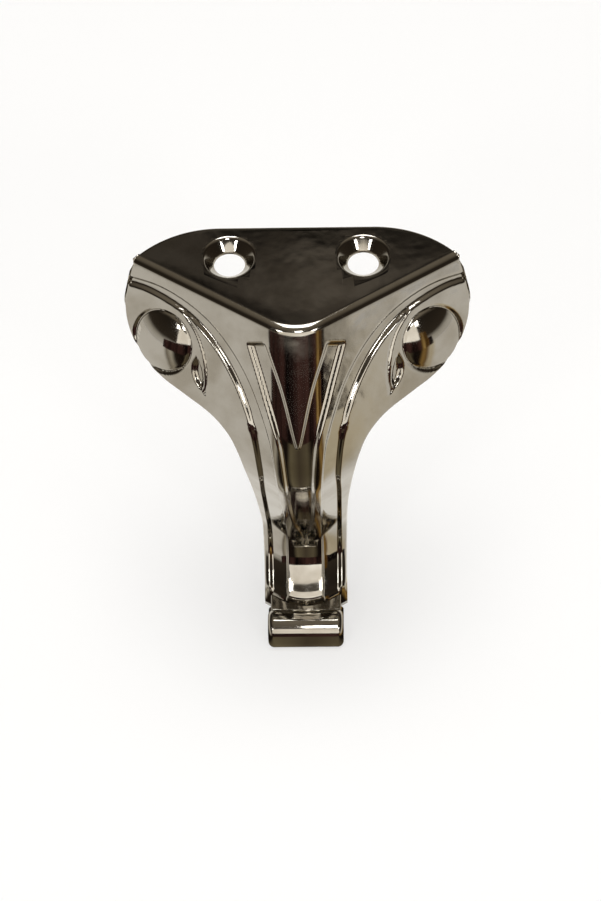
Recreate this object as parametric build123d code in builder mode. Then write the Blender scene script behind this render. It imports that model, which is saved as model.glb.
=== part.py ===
from build123d import *
from math import cos, radians, sin, tan
import os

os.makedirs("parts", exist_ok=True)

# Sizes in millimetres, angles in degrees. The foot stands on z = 0 with its front towards -Y, and the
# sharp corner where the plate's two front edges would meet lies on the Z axis.
height = 100.0
plate_thickness = 2.8
wall = 2.8
face_turn = 32.5
corner_radius = 10.8
top_edge_radius = 2.2

# Plate: a straight back edge that curves forward to the tips of the ears
back_edge_y = 29.7
back_edge_half = 16.0
ear_reach = 40.0

# Side profile of both walls: they lean out under the plate, turn at the knee and sweep in to the ankle
lean = 26.5
lean_drop = 25.0
knee_radius = 15.0
sweep_in = 26.5
ankle_stand_off = 0.5

# Outline seen from the front, as distance from the middle, with heights measured down from the plate
ear_half = 36.1
ear_widest_drop = 10.0
lobe_x = 32.4
lobe_drop = 19.4
ear_under_x = 24.0
ear_under_drop = 22.2
armpit_x = 14.6
armpit_drop = 24.6
armpit_end_x = 13.1
armpit_end_drop = 28.6
knee_half = 12.0
knee_drop = 34.0
leg_half = 10.3
leg_z = 38.0
ankle_half = 9.5
ankle_z = 8.0

# Relief in the faces
groove_depth = 0.8
groove_end_z = 5.8
v_width = 3.8
v_half = 6.3
v_top_drop = 3.8
v_top_slant = 1.7
v_meet_drop = 23.0
v_tip_z = 18.5

# Disc on each ear: where it lies along the face and below the plate, its dome and the ring round it
disc_run = 29.0
disc_drop = 13.5
disc_radius = 6.3
disc_rise = 1.3
ring_width = 1.0
ring_depth = 0.5
line_width = 0.5

# Two countersunk screw holes
hole_spacing = 27.7
hole_y = 21.2
hole_radius = 3.2
sink_radius = 5.6
sink_angle = 90.0

# Toe cushion, and the narrower neck that joins it to the leg and closes the sole
toe_front_y = -12.0
toe_half = 8.6
toe_height = 7.4
toe_corner_radius = 1.6
neck_half = 8.0
neck_y = -4.0
neck_z = 4.2
neck_top_z = 9.0
sole_back_y = 6.5
neck_lap = 2.0

# How far the half outlines reach past the middle, and how near to it an edge counts as being on it
past_middle = -1.0
on_middle = 0.01

run_x = cos(radians(face_turn))
run_y = sin(radians(face_turn))
# Seen along the right hand face: x points out of the face and y points up
profile_plane = Plane(origin=(0, 0, 0), x_dir=(run_y, -run_x, 0), z_dir=(-run_x, -run_y, 0))

lean_slope = tan(radians(lean))
lean_end_x = lean_drop * lean_slope
lean_end_z = height - lean_drop
knee_x = lean_end_x - knee_radius * cos(radians(lean))
knee_z = lean_end_z - knee_radius * sin(radians(lean))
sweep_start_x = knee_x + knee_radius * cos(radians(sweep_in))
sweep_start_z = knee_z - knee_radius * sin(radians(sweep_in))
sweep_radius = (sweep_start_x - ankle_stand_off) / (1 - cos(radians(sweep_in)))
sweep_x = ankle_stand_off + sweep_radius
sweep_z = sweep_start_z - sweep_radius * sin(radians(sweep_in))


def mitred_block(inset, top, bottom):
    # A block with both faces set in by the same distance and the corner between them rounded
    lean_x = lean_end_x - inset * cos(radians(lean))
    lean_z = lean_end_z - inset * sin(radians(lean))
    top_x = lean_x - (top - lean_z) * lean_slope
    ankle_x = ankle_stand_off - inset
    back = 2 * back_edge_y
    with BuildPart() as block:
        with BuildSketch(profile_plane):
            with BuildLine():
                Line((top_x, top), (lean_x, lean_z))
                CenterArc((knee_x, knee_z), knee_radius - inset, lean, -lean - sweep_in)
                CenterArc((sweep_x, sweep_z), sweep_radius + inset, 180 - sweep_in, sweep_in)
                Polyline(
                    (ankle_x, sweep_z), (ankle_x, bottom), (-back, bottom), (-back, top), (top_x, top)
                )
            make_face()
        extrude(amount=2 * ear_reach, both=True)
        split(bisect_by=Plane.YZ)
        mirror(about=Plane.YZ)
        middle = block.edges().filter_by_position(Axis.X, -on_middle, on_middle)
        fillet(middle.filter_by(lambda edge: edge.center().Y < hole_y), corner_radius - inset)
    return block.part


# Outer form of plate and walls, solid, with a rounded edge between them
with BuildPart() as outer:
    add(mitred_block(0, height, 0))
    top_edges = outer.faces().sort_by(Axis.Z)[-1].edges()
    corner_edge = top_edges.filter_by(GeomType.LINE, reverse=True)
    right_edges = top_edges.filter_by(Axis((0, 0, 0), (run_x, run_y, 0)))
    left_edges = top_edges.filter_by(Axis((0, 0, 0), (-run_x, run_y, 0)))
    fillet(right_edges + left_edges + corner_edge, top_edge_radius)

# Space under the plate and behind the walls
hollow = mitred_block(wall, height - plate_thickness, -wall)

# Thin skin under the outer faces, which gives the grooves their depth
with BuildPart() as skin:
    add(mitred_block(0, height, 0))
    add(mitred_block(groove_depth, height + wall, -wall), mode=Mode.SUBTRACT)

# Grooves, drawn from the front on the right hand side
with BuildPart() as grooves:
    with BuildSketch(Plane.XZ):
        # S shaped groove from the tip of the ear down to the sole
        with BuildLine():
            upper = Spline(
                (ear_half + 1, height - 4.4), (27.2, height - 2.8), (18.7, height - 4.6),
                (12.7, height - 9.0), (8.4, height - 15.5), (5.3, height - 25.5),
                (4.3, height / 2), (3.8, height / 4), (3.8, groove_end_z),
            )
            lower = Spline(
                (ear_half + 1, height - 6.4), (29.6, height - 5.3), (21.5, height - 6.8),
                (15.1, height - 11.7), (10.6, height - 20.0), (8.9, height - 32.0),
                (8.8, height / 2), (8.6, height / 4), (8.3, groove_end_z),
            )
            Line(upper @ 0, lower @ 0)
            Line(upper @ 1, lower @ 1)
        make_face()
        # V shaped groove whose arms meet on the corner
        with BuildLine():
            outside = Spline(
                (v_half + v_width, height - v_top_drop - v_top_slant), (7.0, height - 14.5),
                (4.0, height - 25.0), (3.1, height / 2), (2.2, 30.0), (0, v_tip_z),
            )
            inside = Spline(
                (v_half, height - v_top_drop), (2.9, height - 12.0), (0, height - v_meet_drop)
            )
            Line(outside @ 0, inside @ 0)
            Line(outside @ 1, inside @ 1)
        make_face()
        # Fine line that leaves the ring round the disc and runs down beside it
        with BuildLine():
            near = Spline(
                (23.2, height - 6.1), (20.6, height - 9.0), (19.2, height - 13.0),
                (19.1, height - 17.0), (19.6, height - 19.6),
            )
            far = Spline(
                (23.2 - line_width, height - 5.7), (20.6 - line_width, height - 8.7),
                (19.2 - line_width, height - 13.0), (19.1 - line_width, height - 17.0),
                (19.6 - line_width, height - 19.7),
            )
            Line(near @ 0, far @ 0)
            Line(near @ 1, far @ 1)
        make_face()
        # Pocket between the line and the ring
        with BuildLine():
            Spline(
                (20.7, height - 12.6), (21.9, height - 15.4), (21.5, height - 18.0),
                (19.9, height - 19.1), (19.5, height - 16.0), (20.7, height - 12.6),
            )
        make_face()
    extrude(amount=ear_reach, both=True)
    mirror(about=Plane.YZ)
    add(skin.part, mode=Mode.INTERSECT)

# Domed disc of the right hand ear, square to the leaning face
disc_out = disc_drop * lean_slope
disc_origin = (
    disc_run * run_x + disc_out * run_y, disc_run * run_y - disc_out * run_x, height - disc_drop
)
disc_normal = (run_y * cos(radians(lean)), -run_x * cos(radians(lean)), sin(radians(lean)))
disc_plane = Plane(origin=disc_origin, x_dir=(run_x, run_y, 0), z_dir=disc_normal)
dome_radius = (disc_radius ** 2 + disc_rise ** 2) / (2 * disc_rise)
with BuildPart() as disc:
    with BuildSketch(disc_plane.offset(-wall / 2)):
        Circle(disc_radius)
    extrude(amount=wall)
    with Locations(disc_plane.offset(disc_rise - dome_radius)):
        Sphere(dome_radius, mode=Mode.INTERSECT)

# Toe cushion with its side edges rounded
with BuildPart() as toe:
    with BuildSketch(Plane.YZ):
        with BuildLine():
            Polyline((neck_y + neck_lap, 0), (toe_front_y + 1.0, 0))
            Spline(
                (toe_front_y + 1.0, 0), (toe_front_y, 3.0), (toe_front_y + 2.2, toe_height - 0.9),
                (toe_front_y + 5.0, toe_height), (neck_y, neck_z),
            )
            Polyline((neck_y, neck_z), (neck_y + neck_lap, neck_z - 1), (neck_y + neck_lap, 0))
        make_face()
    extrude(amount=toe_half, both=True)
    fillet(toe.edges().filter_by(GeomType.BSPLINE), toe_corner_radius)

# Plate and walls as one shell, trimmed to the outline of plate, ears and leg
tip_x = ear_reach * run_x
tip_y = ear_reach * run_y
bend_drop = back_edge_y - tip_y
bend_radius = ((tip_x - back_edge_half) ** 2 + bend_drop ** 2) / (2 * bend_drop)
bend_side = back_edge_half + bend_radius

with BuildPart() as foot:
    add(outer.part)
    add(hollow, mode=Mode.SUBTRACT)
    split(bisect_by=Plane.YZ)
    with BuildSketch(Plane.XZ):
        with BuildLine():
            side = Line((tip_x, height), (ear_half, height - ear_widest_drop))
            leg = ThreePointArc(
                (knee_half, height - knee_drop), (leg_half, leg_z), (ankle_half, ankle_z)
            )
            Spline(
                side @ 1, (lobe_x, height - lobe_drop), (ear_under_x, height - ear_under_drop),
                (armpit_x, height - armpit_drop), (armpit_end_x, height - armpit_end_drop), leg @ 0,
                tangents=(side % 1, leg % 0),
            )
            Polyline(
                (ankle_half, ankle_z), (ankle_half, 0), (past_middle, 0), (past_middle, height),
                (tip_x, height),
            )
        make_face()
    extrude(amount=3 * ear_reach, both=True, mode=Mode.INTERSECT)
    with BuildSketch(Plane.XY):
        with BuildLine():
            Line((past_middle, back_edge_y), (back_edge_half, back_edge_y))
            CenterArc((back_edge_half, back_edge_y - bend_radius), bend_radius, 90, -90)
            Polyline(
                (bend_side, back_edge_y - bend_radius), (bend_side, -ear_reach),
                (past_middle, -ear_reach), (past_middle, back_edge_y),
            )
        make_face()
    extrude(amount=height, mode=Mode.INTERSECT)
    with BuildSketch(disc_plane.offset(-ring_depth)):
        Circle(disc_radius + ring_width)
    extrude(amount=wall, mode=Mode.SUBTRACT)
    add(disc.part)
    mirror(about=Plane.YZ)

    # Neck: hollow-backed on top, solid down to the sole
    with BuildSketch(Plane.YZ):
        with BuildLine():
            Polyline(
                (sole_back_y - neck_lap, neck_top_z), (sole_back_y, neck_top_z), (sole_back_y, 0),
                (neck_y - 1, 0), (neck_y - 1, neck_z - 1), (neck_y, neck_z),
            )
            ThreePointArc(
                (neck_y, neck_z), (0.6, neck_z + 1.1), (sole_back_y - neck_lap, neck_top_z)
            )
        make_face()
    extrude(amount=neck_half, both=True)
    add(toe.part)
    add(grooves.part, mode=Mode.SUBTRACT)
    with Locations((-hole_spacing / 2, hole_y, height), (hole_spacing / 2, hole_y, height)):
        CounterSinkHole(hole_radius, sink_radius, 2 * plate_thickness, sink_angle)

foot.part.label = "foot_casting"
export_step(foot.part, "parts/foot_casting.step")
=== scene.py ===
from math import cos, pi, radians, sin, tan

import bmesh
import bpy
import numpy as np
from mathutils import Matrix, Vector
from mathutils.geometry import interpolate_bezier


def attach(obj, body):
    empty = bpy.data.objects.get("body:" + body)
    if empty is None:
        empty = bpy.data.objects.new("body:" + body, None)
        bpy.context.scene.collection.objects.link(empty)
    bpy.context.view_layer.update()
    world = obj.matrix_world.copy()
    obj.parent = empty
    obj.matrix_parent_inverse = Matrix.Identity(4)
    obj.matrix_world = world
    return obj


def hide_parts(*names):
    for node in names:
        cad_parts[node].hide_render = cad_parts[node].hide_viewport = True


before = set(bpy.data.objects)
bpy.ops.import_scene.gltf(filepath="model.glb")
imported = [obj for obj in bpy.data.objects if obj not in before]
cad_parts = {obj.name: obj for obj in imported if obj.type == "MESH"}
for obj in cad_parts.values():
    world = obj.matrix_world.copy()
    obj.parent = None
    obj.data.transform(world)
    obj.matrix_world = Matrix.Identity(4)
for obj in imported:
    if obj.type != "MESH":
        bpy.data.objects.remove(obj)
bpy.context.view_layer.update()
print("frame loaded")

mm = 0.001
tiny = 0.001  # what counts as nothing, in millimetres or in rows of the mesh


def fromHex(text):
    # sRGB hex to the linear values that a shader takes
    parts = [int(text[i:i + 2], 16) / 255 for i in (1, 3, 5)]
    return tuple(p / 12.92 if p <= 0.04045 else ((p + 0.055) / 1.055) ** 2.4 for p in parts) + (1.0,)


def addNode(tree, kind, settings=(), links=()):
    # one node with its settings, by socket, by property or as a ramp's stops, and its incoming links
    node = tree.nodes.new(kind)
    for name, value in dict(settings).items():
        if name == "stops":
            elements = node.color_ramp.elements
            while len(elements) < len(value):
                elements.new(0.5)
            for element, (position, colour) in zip(elements, value):
                element.position = position
                element.color = fromHex(colour)
        elif name in node.inputs:
            node.inputs[name].default_value = value
        else:
            setattr(node, name, value)
    for socket, source in dict(links).items():
        tree.links.new(source, node.inputs[socket])
    return node


def newMaterial(name):
    material = bpy.data.materials.new(name)
    material.use_nodes = True
    material.node_tree.nodes.clear()
    return material


def meshFrom(bm, name):
    mesh = bpy.data.meshes.new(name)
    bm.to_mesh(mesh)
    bm.free()
    return mesh


def newPiece(name, mesh, material):
    mesh.materials.append(material)
    piece = bpy.data.objects.new(name, mesh)
    bpy.context.scene.collection.objects.link(piece)
    return piece


def flatCard(width, depth):
    bm = bmesh.new()
    bmesh.ops.create_grid(bm, x_segments=1, y_segments=1, size=0.5)
    bmesh.ops.scale(bm, vec=(width, depth, 1.0), verts=bm.verts)
    return bm


# camera: turned to the photo's angle, no shift
cameraSettings = {
    "aim": (0.00009, 0.0, 0.061), "distance": 0.6,
    "elevation": 54.0, "yaw": -2.15, "roll": -2.32,
    "lens": 112.46, "sensorWidth": 36.0, "clipStart": 0.01,
}


def addCamera(s):
    data = bpy.data.cameras.new("photoCamera")
    data.lens = s["lens"]
    data.sensor_width = s["sensorWidth"]
    data.clip_start = s["clipStart"]
    elevation, yaw, roll = radians(s["elevation"]), radians(s["yaw"]), radians(s["roll"])
    forward = Vector((sin(yaw) * cos(elevation), cos(yaw) * cos(elevation), -sin(elevation)))
    level = Vector((cos(yaw), -sin(yaw), 0.0))
    upward = level.cross(forward)
    right = level * cos(roll) + upward * sin(roll)
    up = upward * cos(roll) - level * sin(roll)
    turn = Matrix((right, up, -forward)).transposed()
    camera = bpy.data.objects.new("photoCamera", data)
    camera.matrix_world = Matrix.Translation(Vector(s["aim"]) - forward * s["distance"]) @ turn.to_4x4()
    bpy.context.scene.collection.objects.link(camera)
    bpy.context.scene.camera = camera


addCamera(cameraSettings)
print("camera placed")

# floor: matt white card, which the eye and the metal see a share whiter than the lamps make it
floorSettings = {"colour": "#F4F3F1", "size": 4.0, "whiteness": 0.55}


def addFloor(s):
    material = newMaterial("matt white card")
    tree = material.node_tree
    card = addNode(tree, "ShaderNodeBsdfDiffuse", {"Color": fromHex(s["colour"])})
    white = addNode(tree, "ShaderNodeEmission", {"Strength": 1.0})
    ray = addNode(tree, "ShaderNodeLightPath")
    direct = addNode(tree, "ShaderNodeMath", {"operation": "MAXIMUM"},
                     {0: ray.outputs["Is Camera Ray"], 1: ray.outputs["Is Glossy Ray"]})
    seen = addNode(tree, "ShaderNodeMath", {"operation": "MAXIMUM"},
                   {0: direct.outputs[0], 1: ray.outputs["Is Transmission Ray"]})
    share = addNode(tree, "ShaderNodeMapRange", {"To Max": s["whiteness"]}, {"Value": seen.outputs[0]})
    shader = addNode(tree, "ShaderNodeMixShader",
                     links={0: share.outputs[0], 1: card.outputs[0], 2: white.outputs[0]})
    addNode(tree, "ShaderNodeOutputMaterial", links={"Surface": shader.outputs[0]})
    floor = newPiece("floor", meshFrom(flatCard(s["size"], s["size"]), "floor"), material)


addFloor(floorSettings)

# world: bright near the horizon, dim above
worldSettings = {
    "strength": 1.0,
    "upwards": [(0.0, "#DAD6CE"), (0.1, "#C4BFB5"), (0.2, "#3E362D"), (0.6, "#2E2821"), (0.74, "#4F483E"),
                (0.82, "#6C6458"), (1.0, "#8A8172")],
}


def addWorld(s):
    world = bpy.data.worlds.new("studio")
    world.use_nodes = True
    tree = world.node_tree
    tree.nodes.clear()
    direction = addNode(tree, "ShaderNodeTexCoord")
    parts = addNode(tree, "ShaderNodeSeparateXYZ", links={"Vector": direction.outputs["Generated"]})
    ramp = addNode(tree, "ShaderNodeValToRGB", {"stops": s["upwards"]}, {"Fac": parts.outputs["Z"]})
    sky = addNode(tree, "ShaderNodeBackground", {"Strength": s["strength"]}, {"Color": ramp.outputs["Color"]})
    addNode(tree, "ShaderNodeOutputWorld", links={"Surface": sky.outputs[0]})
    bpy.context.scene.world = world


addWorld(worldSettings)

# lamps: a wide one overhead for the floor alone, and four small ones that the metal mirrors; aim is the height
# over the middle that a lamp looks at
lampSettings = {
    "floorLamp": {"place": (0.0, 0.2, 2.6), "aim": 0.0, "size": 2.2, "power": 50.0, "mirrored": False},
    "topLamp": {"place": (0.0, 0.1, 0.9), "aim": 0.1, "size": 0.3, "power": 1.9, "mirrored": True},
    "frontLamp": {"place": (0.05, -0.6, 0.85), "aim": 0.08, "size": 0.16, "power": 1.2, "mirrored": True},
    "leftLamp": {"place": (-0.42, -0.62, 0.62), "aim": 0.08, "size": 0.12, "power": 0.8, "mirrored": True},
    "rightLamp": {"place": (0.42, -0.62, 0.62), "aim": 0.08, "size": 0.12, "power": 0.8, "mirrored": True},
}


def addLamp(name, s):
    data = bpy.data.lights.new(name, "AREA")
    data.shape = "SQUARE"
    data.size = s["size"]
    data.energy = s["power"]
    lamp = bpy.data.objects.new(name, data)
    look = Vector((0.0, 0.0, s["aim"])) - Vector(s["place"])
    turn = look.to_track_quat("-Z", "Y").to_matrix().to_4x4()
    lamp.matrix_world = Matrix.Translation(s["place"]) @ turn
    lamp.visible_glossy = s["mirrored"]
    bpy.context.scene.collection.objects.link(lamp)


for lampName, lamp in lampSettings.items():
    addLamp(lampName, lamp)

# painted reflection of a table: a glowing card that only the metal mirrors, pale at the sides, dark and brown
# bands towards the camera, by the turn round the leg, from the left through the front to the right and the
# back
tableReflectionSettings = {
    "size": 3.2, "height": 0.001, "centre": 0.015,
    "bands": [(0.0, "#EFEBE3"), (0.112, "#EFEBE3"), (0.125, "#8E8576"), (0.14, "#C9C2B2"), (0.155, "#2A211A"),
              (0.19, "#1F1814"), (0.21, "#7A7058"), (0.25, "#574D3E"), (0.29, "#6E644F"), (0.315, "#1D1613"),
              (0.34, "#1D1613"), (0.352, "#A8864C"), (0.365, "#7B5E36"), (0.376, "#E2D6BC"),
              (0.386, "#DDD0B4"), (0.4, "#EFEBE3")],
}
# standing cards round the foot that glow and that only the metal mirrors, painted reflections cloudy between a
# dark and a light colour: dark in front and behind, white above the front one, warm at the right
screenSettings = {
    "frontScreen": {"middle": (0.0, -0.6, 0.1), "size": (1.5, 0.2), "streaks": (7.0, 1.0, 0.8),
                    "dark": "#120B0A", "light": "#4C332E", "strength": 1.0},
    "whiteCard": {"middle": (0.0, -0.6, 0.41), "size": (0.8, 0.4), "streaks": (2.0, 1.0, 2.0),
                  "dark": "#D8D2C8", "light": "#F4F0E8", "strength": 1.9},
    "warmScreen": {"middle": (0.5, -0.59, 0.17), "size": (0.18, 0.36), "streaks": (9.0, 1.0, 1.0),
                   "dark": "#5A3E1A", "light": "#D2AE6C", "strength": 1.0},
    "backScreen": {"middle": (0.0, 0.6, 0.85), "size": (1.3, 0.9), "streaks": (9.0, 1.0, 7.0),
                   "dark": "#12100D", "light": "#6A635A", "strength": 1.0},
}
cloudRange = (0.38, 0.66)  # noise at which a standing card is at its dark and at its light colour


def addScreen(name, bm, colour, strength, material):
    # painted reflection: a glowing card that only the metal mirrors, lit by itself
    tree = material.node_tree
    glow = addNode(tree, "ShaderNodeEmission", {"Strength": strength}, {"Color": colour})
    addNode(tree, "ShaderNodeOutputMaterial", links={"Surface": glow.outputs[0]})
    screen = newPiece(name, meshFrom(bm, name), material)
    screen.visible_camera = False
    screen.visible_diffuse = False
    screen.visible_shadow = False
    screen.visible_transmission = False


def addTableReflection(s):
    material = newMaterial("paintedTableReflection")
    tree = material.node_tree
    place = addNode(tree, "ShaderNodeTexCoord").outputs["Object"]
    centred = addNode(tree, "ShaderNodeMapping", {"Location": (0, -s["centre"], 0)}, {"Vector": place})
    turn = addNode(tree, "ShaderNodeTexGradient", {"gradient_type": "RADIAL"}, {"Vector": centred.outputs[0]})
    # painted reflection: glowing colour bands by the turn round the leg, seen only in the metal
    ramp = addNode(tree, "ShaderNodeValToRGB", {"stops": s["bands"]}, {"Fac": turn.outputs["Fac"]})
    bm = flatCard(s["size"], s["size"])
    bmesh.ops.translate(bm, vec=(0, 0, s["height"]), verts=bm.verts)
    addScreen("paintedTableReflection", bm, ramp.outputs["Color"], 1.0, material)


def addWallScreen(name, s):
    material = newMaterial(name)
    tree = material.node_tree
    place = addNode(tree, "ShaderNodeTexCoord").outputs["Object"]
    stretch = addNode(tree, "ShaderNodeMapping", {"Scale": s["streaks"]}, {"Vector": place})
    cloud = addNode(tree, "ShaderNodeTexNoise", {"Scale": 1.0, "Detail": 2.0}, {"Vector": stretch.outputs[0]})
    ramp = addNode(tree, "ShaderNodeValToRGB", {"stops": list(zip(cloudRange, (s["dark"], s["light"])))},
                   {"Fac": cloud.outputs["Fac"]})
    bm = flatCard(*s["size"])
    bmesh.ops.rotate(bm, matrix=Matrix.Rotation(-pi / 2, 3, "X"), verts=bm.verts)
    bmesh.ops.translate(bm, vec=s["middle"], verts=bm.verts)
    addScreen(name, bm, ramp.outputs["Color"], s["strength"], material)


addTableReflection(tableReflectionSettings)
for screenName, screen in screenSettings.items():
    addWallScreen(screenName, screen)
print("floor, lamps and screens placed")

# nickel plated zinc die casting, polished by hand: a warm grey mirror that wavers a little, with a soft mottle
# of cleaner and duller spots and edges that the polishing mop has brightened; sizes and heights are in
# millimetres, the ranges are the noise and the pointiness over which the mottle and the bright edges come in
platingSettings = {
    "plate": "#B4B0A8", "worn": "#C6C2BA", "mottle": "#A39D92",
    "roughness": 0.055, "dullRoughness": 0.13, "edgeRoughness": 0.1,
    "mottleSize": 9.0, "mottleRange": (0.42, 0.68), "edgeRange": (0.53, 0.62),
    "waveSize": 3.2, "waveHeight": 0.02, "peelSize": 0.9, "peelHeight": 0.0016,
}


def makePlating(s):
    material = newMaterial("polished nickel plate")
    tree = material.node_tree
    place = addNode(tree, "ShaderNodeTexCoord").outputs["Object"]
    mottle = addNode(tree, "ShaderNodeTexNoise", {"Scale": 1 / (s["mottleSize"] * mm), "Detail": 4.0},
                     {"Vector": place})
    cloudy = addNode(tree, "ShaderNodeMapRange", dict(zip(("From Min", "From Max"), s["mottleRange"])),
                     {"Value": mottle.outputs["Fac"]})
    shape = addNode(tree, "ShaderNodeNewGeometry")
    edge = addNode(tree, "ShaderNodeMapRange", dict(zip(("From Min", "From Max"), s["edgeRange"])),
                   {"Value": shape.outputs["Pointiness"]})
    tint = addNode(tree, "ShaderNodeMixRGB", {"Color1": fromHex(s["plate"]), "Color2": fromHex(s["mottle"])},
                   {"Fac": cloudy.outputs[0]})
    worn = addNode(tree, "ShaderNodeMixRGB", {"Color2": fromHex(s["worn"])},
                   {"Fac": edge.outputs[0], "Color1": tint.outputs[0]})
    dull = addNode(tree, "ShaderNodeMapRange", {"To Min": s["roughness"], "To Max": s["dullRoughness"]},
                   {"Value": cloudy.outputs[0]})
    rough = addNode(tree, "ShaderNodeMix", {"B": s["edgeRoughness"]},
                    {"Factor": edge.outputs[0], "A": dull.outputs[0]})
    wave = addNode(tree, "ShaderNodeTexNoise", {"Scale": 1 / (s["waveSize"] * mm), "Detail": 1.0},
                   {"Vector": place})
    peel = addNode(tree, "ShaderNodeTexNoise", {"Scale": 1 / (s["peelSize"] * mm), "Detail": 2.0},
                   {"Vector": place})
    waved = addNode(tree, "ShaderNodeBump", {"Distance": s["waveHeight"] * mm},
                    {"Height": wave.outputs["Fac"]})
    peeled = addNode(tree, "ShaderNodeBump", {"Distance": s["peelHeight"] * mm},
                     {"Height": peel.outputs["Fac"], "Normal": waved.outputs[0]})
    shader = addNode(tree, "ShaderNodeBsdfPrincipled", {"Metallic": 1.0},
                     {"Base Color": worn.outputs[0], "Roughness": rough.outputs[0],
                      "Normal": peeled.outputs[0]})
    addNode(tree, "ShaderNodeOutputMaterial", links={"Surface": shader.outputs[0]})
    return material


plating = makePlating(platingSettings)

# shell of plate and walls, in millimetres and degrees: x from the middle, y to the back, z up from the floor
shell = {
    "height": 100.0, "wall": 2.8, "faceTurn": 32.5, "cornerRadius": 10.8, "topEdgeRadius": 2.2,
    "rimRadius": 0.6, "rimStart": 2.0,  # no rounded rim below this height
    # the faces' slant by the way down the face: outwards above the knee and at the ankle, inwards down the leg
    "lean": 26.5,
    "bends": [(0, 26.5), (19, 26.5), (45, -19), (80, -19), (99, 48), (102.5, 0), (115, 0)],
    "backEdge": 29.7, "backEdgeHalf": 16.0, "tipHalf": 33.73, "tipBack": 21.49,
    "tipWall": 0.35,  # keeps the outer and the inner side apart at the plate's tips
    # half the foot's width at each height, as (x, z)
    "outline": [(33.73, 100.0), (35.2, 94.6), (36.1, 90.0), (35.4, 85.6), (32.7, 81.4), (28.6, 79.1),
                (24.0, 77.9), (18.4, 76.3), (15.0, 73.6), (13.2, 69.6), (12.1, 64.0), (11.2, 54.0),
                (10.3, 38.0), (9.5, 8.0), (9.5, 0.0)],
    # mesh: rows from the floor to legTop, up the ears, over the rounded edge and back over the plate
    "columns": 320, "legRows": 64, "earRows": 162, "edgeRows": 14, "plateRows": 16, "legTop": 58.0,
    "rimCrowding": 0.06,  # how much closer the columns are at the rims
    "innerStep": 4,  # the inner side has one row and column for every four outside
    "wallSteps": 1200, "edgeSteps": 40, "mergeDistance": 0.01, "sharpAngle": 75,
}
# relief on the faces, its lines as (x, z) seen from the front
relief = {
    "sUpper": [(38.5, 95.3), (36.1, 96.0), (27.2, 97.2), (18.7, 95.4), (12.7, 91.0), (8.4, 84.5), (5.3, 74.5),
               (4.3, 50.0), (3.8, 25.0), (3.8, 3.0)],
    "sLower": [(38.5, 93.3), (36.1, 93.9), (29.6, 94.7), (21.5, 93.2), (15.1, 88.3), (10.6, 80.0), (8.9, 68.0),
               (8.8, 50.0), (8.6, 25.0), (8.3, 3.0)],
    "sDepth": 0.75, "sEnd": 5.8,
    "vOutside": [(10.1, 94.5), (7.0, 85.5), (4.0, 75.0), (3.1, 50.0), (2.2, 30.0), (0.0, 18.5)],
    "vInside": [(6.3, 96.2), (2.9, 88.0), (0.0, 77.0)],
    "vDepth": 0.8,
    "line": [(23.0, 94.1), (20.4, 91.2), (19.0, 87.0), (18.9, 83.0), (19.4, 80.4)],
    "lineDepth": 0.3, "lineWidth": 0.3,
    "pocket": [(20.7, 87.4), (21.9, 84.6), (21.5, 82.0), (19.9, 80.9), (19.5, 84.0), (20.7, 87.4)],
    "pocketDepth": 0.8, "pocketReach": 2.0, "pocketFoot": 80.9,
    "discRun": 29.0, "discDrop": 13.5, "discRadius": 6.3, "discRise": 1.3, "ringWidth": 1.0, "ringDepth": 0.5,
    "edgeWidth": 0.8,  # over which a groove reaches its depth
}


def smoothCurve(points, steps=14):
    # even curve through the points
    ends = [Vector(p) for p in points]
    slopes = [(ends[min(i + 1, len(ends) - 1)] - ends[max(i - 1, 0)]) / 2 for i in range(len(ends))]
    line = [ends[0]]
    for i in range(len(ends) - 1):
        reach = (ends[i + 1] - ends[i]).length
        a, b = slopes[i].normalized() * reach / 3, slopes[i + 1].normalized() * reach / 3
        line += interpolate_bezier(ends[i], ends[i] + a, ends[i + 1] - b, ends[i + 1], steps)[1:]
    return np.array([(p.x, p.y) for p in line])


def distanceTo(x, z, line):
    # distance of each point to the line, and the side of the line it is on
    best = np.full(x.shape, np.inf)
    side = np.ones(x.shape)
    for (ax, az), (bx, bz) in zip(line[:-1], line[1:]):
        dx, dz = bx - ax, bz - az
        t = np.clip(((x - ax) * dx + (z - az) * dz) / (dx * dx + dz * dz), 0, 1)
        gap = np.hypot(x - ax - t * dx, z - az - t * dz)
        near = gap < best
        best = np.where(near, gap, best)
        side = np.where(near, np.sign((x - ax) * dz - (z - az) * dx), side)
    return best, side


def ease(t):
    t = np.clip(t, 0, 1)
    return t * t * (3 - 2 * t)


def roundedBy(radius, gap):
    # how far a rounded edge has fallen at this gap from its end
    return radius - np.sqrt(np.maximum(radius ** 2 - np.maximum(radius - gap, 0) ** 2, 0))


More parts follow.
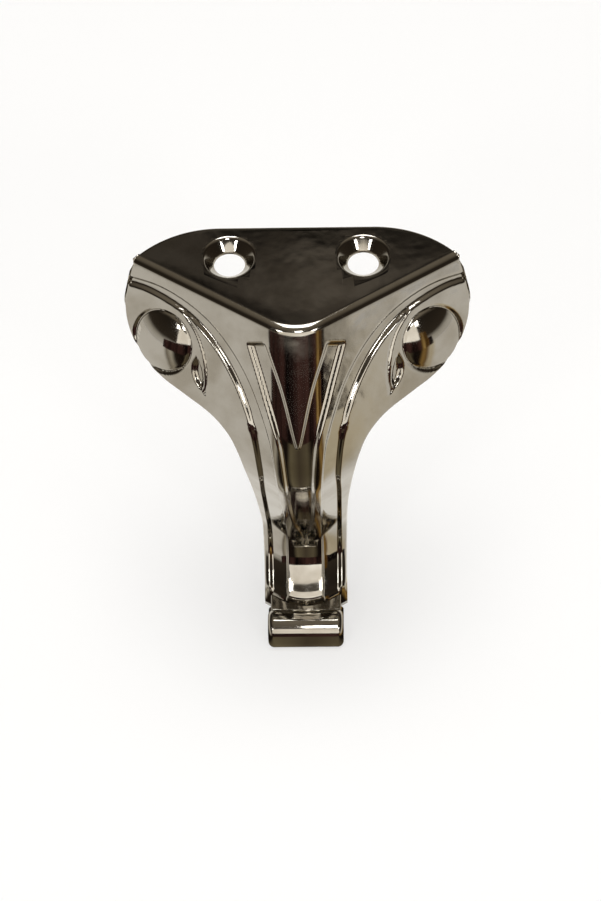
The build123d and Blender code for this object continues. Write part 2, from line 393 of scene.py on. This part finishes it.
def shellProfile(s):
    # side profile, followed down the face and round its bends, then turned over to run from the floor up over
    # the rounded edge: length along it, distance out from the faces' base line, height, and how far the face
    # looks up
    lean, radius = radians(s["lean"]), s["topEdgeRadius"]
    length = np.linspace(radius * tan((pi / 2 - lean) / 2), s["bends"][-1][0], s["wallSteps"])
    bends = np.array(s["bends"])
    nearest = np.clip(np.searchsorted(bends[:, 0], length, side="right") - 1, 0, len(bends) - 2)
    start, end = bends[nearest], bends[nearest + 1]
    share = ease((length - start[:, 0]) / (end[:, 0] - start[:, 0]))
    slant = np.radians(start[:, 1] + (end[:, 1] - start[:, 1]) * share)
    middle, step = (slant[1:] + slant[:-1]) / 2, np.diff(length)
    out = length[0] * sin(lean) + np.concatenate(([0], np.cumsum(np.sin(middle) * step)))
    z = s["height"] - length[0] * cos(lean) - np.concatenate(([0], np.cumsum(np.cos(middle) * step)))
    onWall = z > 0
    turn = np.linspace(lean, pi / 2, s["edgeSteps"] + 1)[1:]
    edgeOut, edgeZ = out[0] - radius * cos(lean), z[0] - radius * sin(lean)
    out = np.concatenate((out[onWall][::-1], edgeOut + radius * np.cos(turn)))
    z = np.concatenate((z[onWall][::-1], edgeZ + radius * np.sin(turn)))
    slant = np.concatenate((slant[onWall][::-1], turn))
    z[0] = 0.0
    length = np.concatenate(([0], np.cumsum(np.hypot(np.diff(out), np.diff(z)))))
    return length, out, z, slant


def planDepth(x, out, radius, s):
    # how far back a point of the faces lies, with the corner between them rounded
    turn = radians(s["faceTurn"])
    flat = x * tan(turn) - out / cos(turn)
    arc = (radius - out) / cos(turn) - np.sqrt(np.maximum(radius ** 2 - x ** 2, 0))
    return np.where(x < radius * sin(turn), arc, flat)


def backLimitAt(x, s):
    # how far back the plate reaches: straight in the middle, then an arc to each tip
    bend = s["backEdge"] - s["tipBack"]
    radius = ((s["tipHalf"] - s["backEdgeHalf"]) ** 2 + bend ** 2) / (2 * bend)
    beyond = np.maximum(x - s["backEdgeHalf"], 0)
    return s["backEdge"] - radius + np.sqrt(np.maximum(radius ** 2 - beyond ** 2, 0))


def reliefAt(x, z, out, s, r):
    # height of the relief over the plain faces: grooves below, discs above
    w = r["edgeWidth"]
    up, upSide = distanceTo(x, z, smoothCurve(r["sUpper"]))
    low, lowSide = distanceTo(x, z, smoothCurve(r["sLower"]))
    between = upSide * lowSide < 0
    h = -np.where(between, r["sDepth"] * ease(up / w) * ease(low / w) * ease((z - r["sEnd"]) / w), 0)

    # V flute, open upwards to a straight top end, its two arms one below the inside line's foot
    outer, outerSide = distanceTo(x, z, smoothCurve(r["vOutside"]))
    inner, innerSide = distanceTo(x, z, smoothCurve(r["vInside"]))
    top = distanceTo(x, z, np.array([r["vInside"][0], r["vOutside"][0]]))[0]
    (insideX, insideZ), (outsideX, outsideZ) = r["vInside"][0], r["vOutside"][0]
    below = (insideZ - z) * (outsideX - insideX) - (x - insideX) * (insideZ - outsideZ) > 0
    arms = (z < r["vInside"][-1][1]) | (innerSide < 0)
    inGroove = (outerSide > 0) & arms & below & (z > r["vOutside"][-1][1])
    h -= np.where(inGroove, r["vDepth"] * ease(outer / w) * ease(inner / w) * ease(top / w), 0)

    # thin line and leaf-shaped pocket
    fine = distanceTo(x, z, smoothCurve(r["line"]))[0]
    h -= r["lineDepth"] * ease(1 - fine / r["lineWidth"])
    edge, side = distanceTo(x, z, smoothCurve(r["pocket"]))
    pocketX, pocketTop = r["pocket"][0]
    near = (np.abs(x - pocketX) < r["pocketReach"]) & (z < pocketTop) & (z > r["pocketFoot"])
    h -= np.where((side > 0) & near, r["pocketDepth"] * ease(edge / w), 0)

    # domed disc in its ring, placed by the run along the face and the drop from the top
    turn, lean = radians(s["faceTurn"]), radians(s["lean"])
    run = (x - out * sin(turn)) / cos(turn) - r["discRun"]
    drop = (s["height"] - z - r["discDrop"]) / cos(lean)
    reach = np.hypot(run, drop)
    ring = np.abs(reach - r["discRadius"] - r["ringWidth"] / 2) / (r["ringWidth"] / 2)
    h -= r["ringDepth"] * ease(1 - ring)
    dome = (r["discRadius"] ** 2 + r["discRise"] ** 2) / (2 * r["discRise"])
    disc = np.sqrt(np.maximum(dome ** 2 - reach ** 2, 0)) - dome + r["discRise"]
    return np.where(reach < r["discRadius"], disc, h)


def flatShell(s):
    # outer and inner side as two flat sheets joined round their rims: x across, y along the profile, z 0
    # outside and 1 inside
    bm = bmesh.new()
    rows = s["legRows"] + s["earRows"] + s["edgeRows"] + s["plateRows"]
    for level, step in ((0.0, 1), (1.0, s["innerStep"])):
        sheet = bmesh.ops.create_grid(bm, x_segments=s["columns"] // step, y_segments=rows // step, size=1.0)
        bmesh.ops.translate(bm, vec=(0, 0, level), verts=sheet["verts"])
    bmesh.ops.bridge_loops(bm, edges=[e for e in bm.edges if e.is_boundary])
    bmesh.ops.recalc_face_normals(bm, faces=bm.faces)
    return meshFrom(bm, "footShell")


def shellPlaces(flat, s, r):
    # where the points of the flat sheets lie on the foot, worked out for one half as both are the same
    wallRows = s["legRows"] + s["earRows"] + s["edgeRows"]
    rows = wallRows + s["plateRows"]
    within = flat[:, 2] > 0.5
    across = flat[:, 0] * (1 + s["rimCrowding"] * (1 - flat[:, 0] ** 2))
    row = (flat[:, 1] + 1) / 2 * rows
    onPlate = row > wallRows + tiny

    # along the profile, outside
    length, outs, heights, slants = shellProfile(s)
    legEnd, edgeStart = np.interp(s["legTop"], heights, length), length[-s["edgeSteps"] - 1]
    rowEnds = [0, s["legRows"], s["legRows"] + s["earRows"], wallRows]
    place = np.interp(row, rowEnds, [0, legEnd, edgeStart, length[-1]])
    onEdge = place > edgeStart + tiny
    out, z, slant = (np.interp(place, length, values) for values in (outs, heights, slants))

    # inside, one wall further in and up to the plate's underside
    lean = radians(s["lean"])
    ceiling = s["height"] - s["wall"]
    cornerOut = s["wall"] * tan(lean) - s["wall"] / cos(lean)
    outIn, zIn = out - s["wall"] * np.cos(slant), z - s["wall"] * np.sin(slant)
    above = (zIn > ceiling) | onEdge
    outIn, zIn = np.where(above, cornerOut, outIn), np.where(above, ceiling, np.maximum(zIn, 0))
    out, z = np.where(within, outIn, out), np.where(within, zIn, z)

    # across
    outline = smoothCurve(s["outline"])
    half = np.interp(z, outline[::-1, 1], outline[::-1, 0])
    half = np.where(onPlate | above, s["tipHalf"], half)
    x = np.abs(across) * half
    y = planDepth(x, out, np.where(within, s["cornerRadius"] - s["wall"], s["cornerRadius"]), s)

    # relief and rounded rims, on the outside of the faces
    h = reliefAt(x, z, out, s, r)
    rim = roundedBy(s["rimRadius"], distanceTo(x, z, outline)[0])
    h = np.where(z < s["rimStart"], h, h - rim)
    h = np.where(within | onPlate | onEdge, 0, h)
    turn = radians(s["faceTurn"])
    planX = np.where(x < s["cornerRadius"] * sin(turn), x / s["cornerRadius"], sin(turn))
    planY = -np.sqrt(1 - planX ** 2)
    x, y, z = x + h * planX * np.cos(slant), y + h * planY * np.cos(slant), z + h * np.sin(slant)

    # plate, its rows closest together at the back edge
    backLimit = backLimitAt(x, s) - np.where(within, 0, s["tipWall"])
    back = 1 - (1 - np.clip((row - wallRows) / s["plateRows"], 0, 1)) ** 3
    y = np.where(onPlate, y + (backLimit - y) * back, y)
    y = np.minimum(y, backLimit)
    z = np.where(onPlate & ~within, z - roundedBy(s["rimRadius"], backLimit - y), z)
    return np.stack((np.sign(across) * x, y, z), axis=1)


def makeShell(s, r):
    mesh = flatShell(s)
    flat = np.zeros(len(mesh.vertices) * 3)
    mesh.vertices.foreach_get("co", flat)
    places = shellPlaces(flat.reshape(-1, 3), s, r) * mm
    mesh.vertices.foreach_set("co", places.ravel())
    mesh.update()
    bm = bmesh.new()
    bm.from_mesh(mesh)
    bmesh.ops.remove_doubles(bm, verts=bm.verts, dist=s["mergeDistance"] * mm)
    bmesh.ops.recalc_face_normals(bm, faces=bm.faces)
    bm.to_mesh(mesh)
    bm.free()
    return mesh


def finishPiece(piece, sharpAngle):
    for face in piece.data.polygons:
        face.use_smooth = True
    piece.data.set_sharp_from_angle(angle=radians(sharpAngle))
    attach(piece, "root")


footShell = newPiece("footShell", makeShell(shell, relief), plating)
print("shell built", len(footShell.data.polygons))

# countersunk holes, with a soft lip where the cone meets the plate and where it meets the bore; the profile is
# (radius, height over the plate)
holes = {
    "spacing": 27.7, "back": 21.2, "steps": 96,
    "profile": [(0.0, -8.4), (3.2, -8.4), (3.2, -2.5), (3.25, -2.3), (3.38, -2.1), (3.52, -1.94), (5.0, -0.46),
                (5.12, -0.34), (5.4, -0.1), (5.75, 0.02), (5.75, 3.0), (0.0, 3.0)],
}


def makeCutter(s, height):
    bm = bmesh.new()
    line = [bm.verts.new((r, 0, z)) for r, z in s["profile"]]
    edges = [bm.edges.new(pair) for pair in zip(line[:-1], line[1:])]
    bmesh.ops.spin(bm, geom=line + edges, cent=(0, 0, 0), axis=(0, 0, 1), dvec=(0, 0, 0), angle=2 * pi,
                   steps=s["steps"], use_merge=True)
    bmesh.ops.remove_doubles(bm, verts=bm.verts, dist=tiny)
    twin = bmesh.ops.duplicate(bm, geom=bm.verts[:] + bm.edges[:] + bm.faces[:])
    second = [v for v in twin["geom"] if isinstance(v, bmesh.types.BMVert)]
    bmesh.ops.translate(bm, vec=(s["spacing"], 0, 0), verts=second)
    bmesh.ops.translate(bm, vec=(-s["spacing"] / 2, s["back"], height), verts=bm.verts)
    bmesh.ops.scale(bm, vec=(mm, mm, mm), verts=bm.verts)
    bmesh.ops.recalc_face_normals(bm, faces=bm.faces)
    return meshFrom(bm, "cutter")


def cutHoles(piece, cutter):
    cut = piece.modifiers.new("holes", "BOOLEAN")
    cut.operation = "DIFFERENCE"
    cut.solver = "EXACT"
    cut.object = cutter
    bpy.context.view_layer.update()
    drilled = piece.evaluated_get(bpy.context.evaluated_depsgraph_get())
    mesh = bpy.data.meshes.new_from_object(drilled)
    piece.modifiers.clear()
    piece.data = mesh
    bpy.data.objects.remove(cutter)


cutHoles(footShell, newPiece("cutter", makeCutter(holes, shell["height"]), plating))
finishPiece(footShell, shell["sharpAngle"])
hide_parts("foot_casting")
print("holes cut", len(footShell.data.polygons))

# toe cushion and the instep that joins it to the leg: side profiles as (y, z), with the flank edges rounded
# that have an end in front of roundFront and lie wholly above roundAbove
toe = {
    "half": 8.6, "radius": 1.4, "segments": 8, "roundFront": -3.9, "roundAbove": -1.0, "sharpAngle": 40,
    "side": [(-2.0, 0.0), (-11.0, 0.0), (-11.8, 1.0), (-12.0, 3.0), (-11.5, 4.9), (-10.2, 6.3), (-8.6, 7.15),
             (-7.0, 7.4), (-5.6, 6.9), (-4.7, 5.8), (-4.0, 4.2), (-2.0, 3.2)],
}
instep = {
    "half": 8.0, "radius": 0.5, "segments": 8, "roundFront": 10.0, "roundAbove": 4.0, "sharpAngle": 40,
    "side": [(1.6, 5.6), (6.5, 5.6), (6.5, 0.0), (-5.0, 0.0), (-5.0, 4.0), (-4.6, 4.7), (-4.0, 5.0),
             (0.4, 5.1)],
}


def profileBlock(name, s):
    # closed block of even width, rounded along its two flanks
    bm = bmesh.new()
    side = bm.faces.new([bm.verts.new((-s["half"], y, z)) for y, z in s["side"]])
    grown = bmesh.ops.extrude_face_region(bm, geom=[side])
    moved = [v for v in grown["geom"] if isinstance(v, bmesh.types.BMVert)]
    bmesh.ops.translate(bm, vec=(2 * s["half"], 0, 0), verts=moved)
    bmesh.ops.recalc_face_normals(bm, faces=bm.faces)
    rounded = [e for e in bm.edges if abs(e.verts[0].co.x - e.verts[1].co.x) < tiny
               and min(v.co.y for v in e.verts) < s["roundFront"]
               and min(v.co.z for v in e.verts) > s["roundAbove"]]
    bmesh.ops.bevel(bm, geom=rounded, offset=s["radius"], offset_type="OFFSET", segments=s["segments"],
                    profile=0.5, affect="EDGES", material=-1, clamp_overlap=True)
    bmesh.ops.scale(bm, vec=(mm, mm, mm), verts=bm.verts)
    return meshFrom(bm, name)


for blockName, block in (("toe", toe), ("instep", instep)):
    piece = newPiece(blockName, profileBlock(blockName, block), plating)
    finishPiece(piece, block["sharpAngle"])
print("toe and instep built")

view = bpy.context.scene.view_settings
view.view_transform = "Standard"
